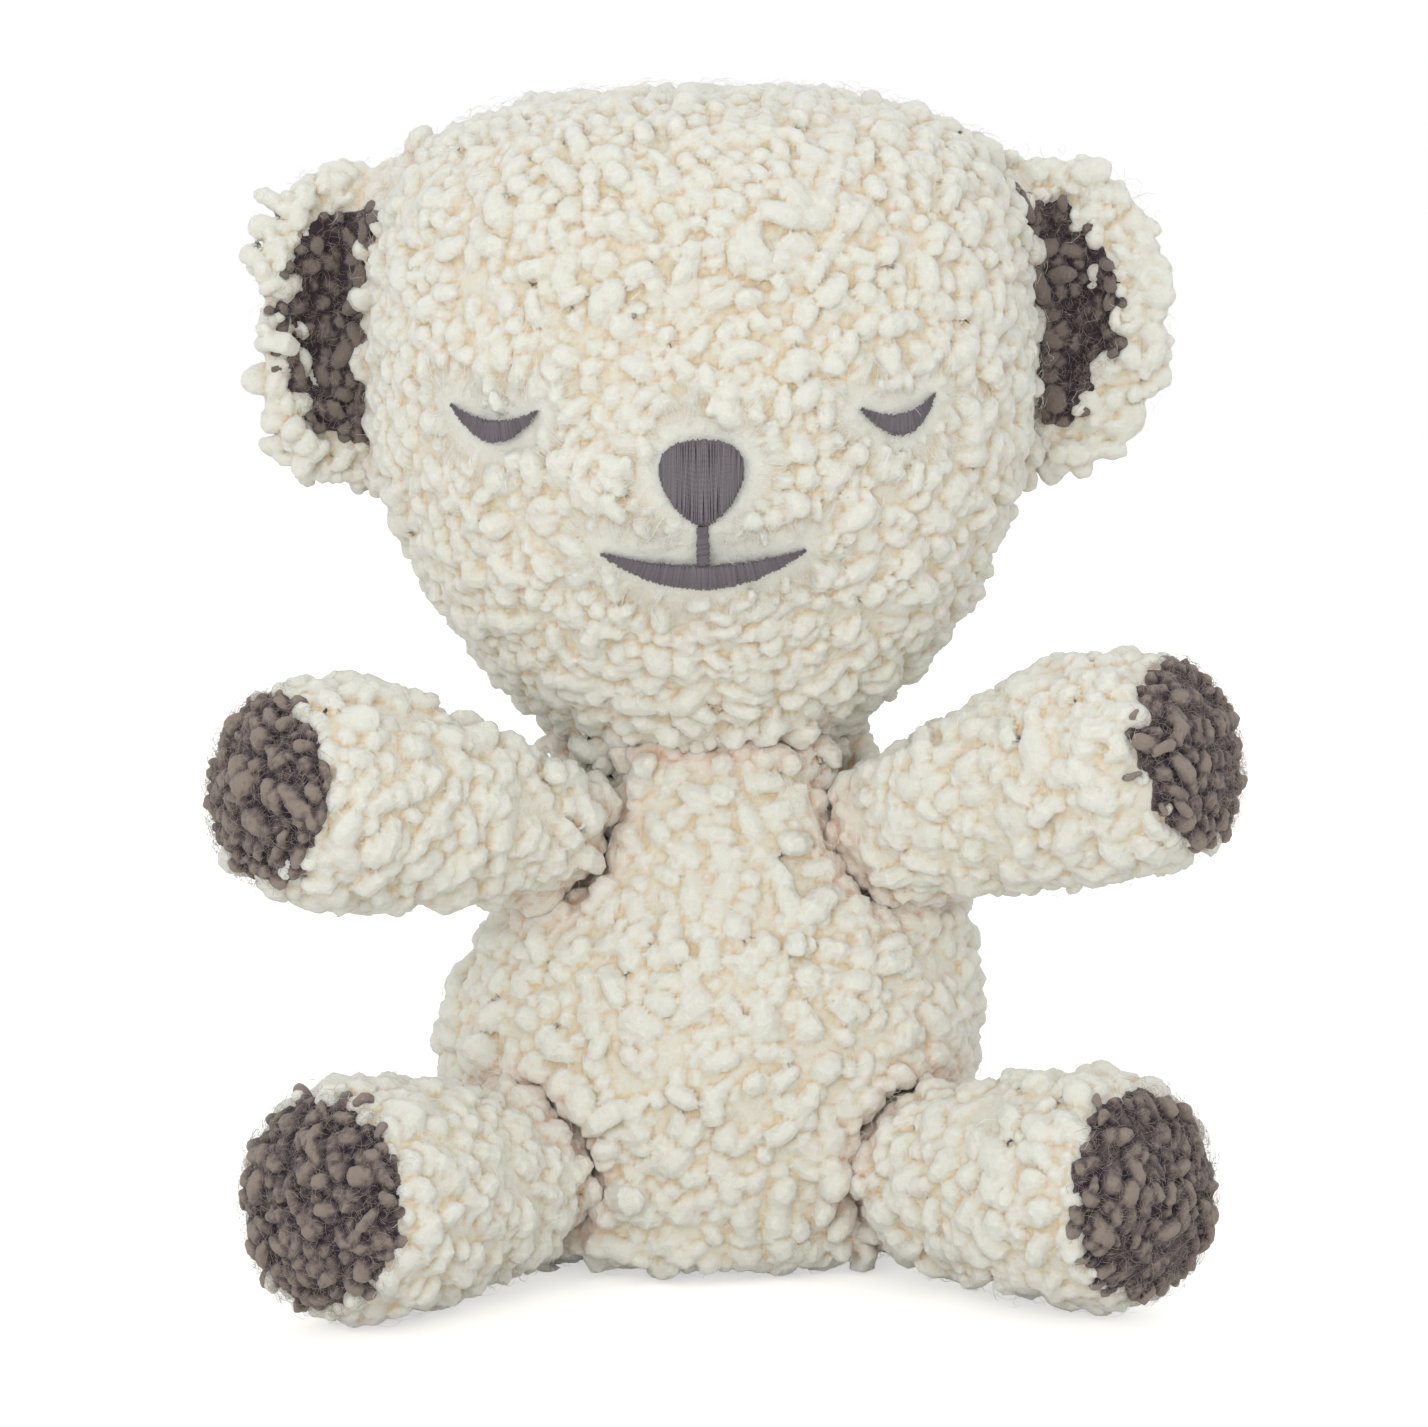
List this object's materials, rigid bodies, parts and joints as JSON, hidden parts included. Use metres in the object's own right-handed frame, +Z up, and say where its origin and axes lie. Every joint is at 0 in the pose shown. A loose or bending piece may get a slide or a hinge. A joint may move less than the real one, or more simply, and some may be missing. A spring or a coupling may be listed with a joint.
{
  "type": "plush bear",
  "caption": "Seated plush bear in cream curly fleece with taupe ear linings, paw pads and foot pads, and closed eyes, nose and smile embroidered in grey thread.",
  "frame": {"origin": "on the surface the bear sits on, under the middle of its box from back to paws", "axes": "+Z up, the bear faces -Y, its own left side is at +X"},
  "size_m": [0.2506, 0.1802, 0.2903],
  "materials": {
    "cream_fleece": "curly fleece, long soft curls on a knitted backing",
    "taupe_fleece": "curly fleece with a fuzz of loose fibres",
    "embroidery_thread": "satin stitch with a soft sheen",
    "stuffing_fibre": "matt polyester fibre fill"
  },
  "bodies": {
    "torso": {"torso_cover": "cream_fleece", "torso_stuffing": "stuffing_fibre"},
    "neck": {"neck_stuffing": "stuffing_fibre"},
    "head": {"head_cover": "cream_fleece", "head_stuffing": "stuffing_fibre", "nose_embroidery": "embroidery_thread", "philtrum_embroidery": "embroidery_thread", "mouth_embroidery": "embroidery_thread", "left_eye_embroidery": "embroidery_thread", "right_eye_embroidery": "embroidery_thread"},
    "left_ear": {"left_ear_flap": "cream_fleece", "left_ear_lining": "taupe_fleece"},
    "right_ear": {"right_ear_flap": "cream_fleece", "right_ear_lining": "taupe_fleece"},
    "left_arm": {"left_arm_cover": "cream_fleece", "left_paw_pad": "taupe_fleece", "left_arm_stuffing": "stuffing_fibre"},
    "right_arm": {"right_arm_cover": "cream_fleece", "right_paw_pad": "taupe_fleece", "right_arm_stuffing": "stuffing_fibre"},
    "left_leg": {"left_leg_cover": "cream_fleece", "left_foot_pad": "taupe_fleece", "left_leg_stuffing": "stuffing_fibre"},
    "right_leg": {"right_leg_cover": "cream_fleece", "right_foot_pad": "taupe_fleece", "right_leg_stuffing": "stuffing_fibre"}
  },
  "joints": [
    {"name": "head_turn", "type": "hinge", "parent": "torso", "child": "neck", "pos_m": [-0.00476, 0.01838, 0.132], "axis": [0, 0, 1], "range_deg": [-20, 20], "stiffness_Nm_per_rad": 1.5},
    {"name": "head_nod", "type": "hinge", "parent": "neck", "child": "head", "pos_m": [-0.00476, 0.01838, 0.132], "axis": [1, 0, 0], "range_deg": [-8, 8], "stiffness_Nm_per_rad": 6},
    {"name": "left_ear_fold", "type": "hinge", "parent": "head", "child": "left_ear", "pos_m": [0.07569, 0.02938, 0.23242], "axis": [0.0175, 0, -0.9998], "range_deg": [-12, 12], "stiffness_Nm_per_rad": 0.15},
    {"name": "right_ear_fold", "type": "hinge", "parent": "head", "child": "right_ear", "pos_m": [-0.08868, 0.02938, 0.22955], "axis": [-0.0175, 0, 0.9998], "range_deg": [-12, 12], "stiffness_Nm_per_rad": 0.15},
    {"name": "left_shoulder", "type": "hinge", "parent": "torso", "child": "left_arm", "pos_m": [0.0487, -0.00446, 0.114], "axis": [-0.5299, -0.848, 0], "range_deg": [-18, 15], "stiffness_Nm_per_rad": 1.5},
    {"name": "right_shoulder", "type": "hinge", "parent": "torso", "child": "right_arm", "pos_m": [-0.05125, -0.00921, 0.114], "axis": [-0.6293, 0.7771, 0], "range_deg": [-18, 15], "stiffness_Nm_per_rad": 1.5},
    {"name": "left_hip", "type": "hinge", "parent": "torso", "child": "left_leg", "pos_m": [0.05521, -0.01952, 0.0255], "axis": [0, 0, 1], "range_deg": [-14, 16], "stiffness_Nm_per_rad": 1.5},
    {"name": "right_hip", "type": "hinge", "parent": "torso", "child": "right_leg", "pos_m": [-0.05782, -0.02595, 0.0255], "axis": [0, 0, -1], "range_deg": [-14, 16], "stiffness_Nm_per_rad": 1.5}
  ]
}
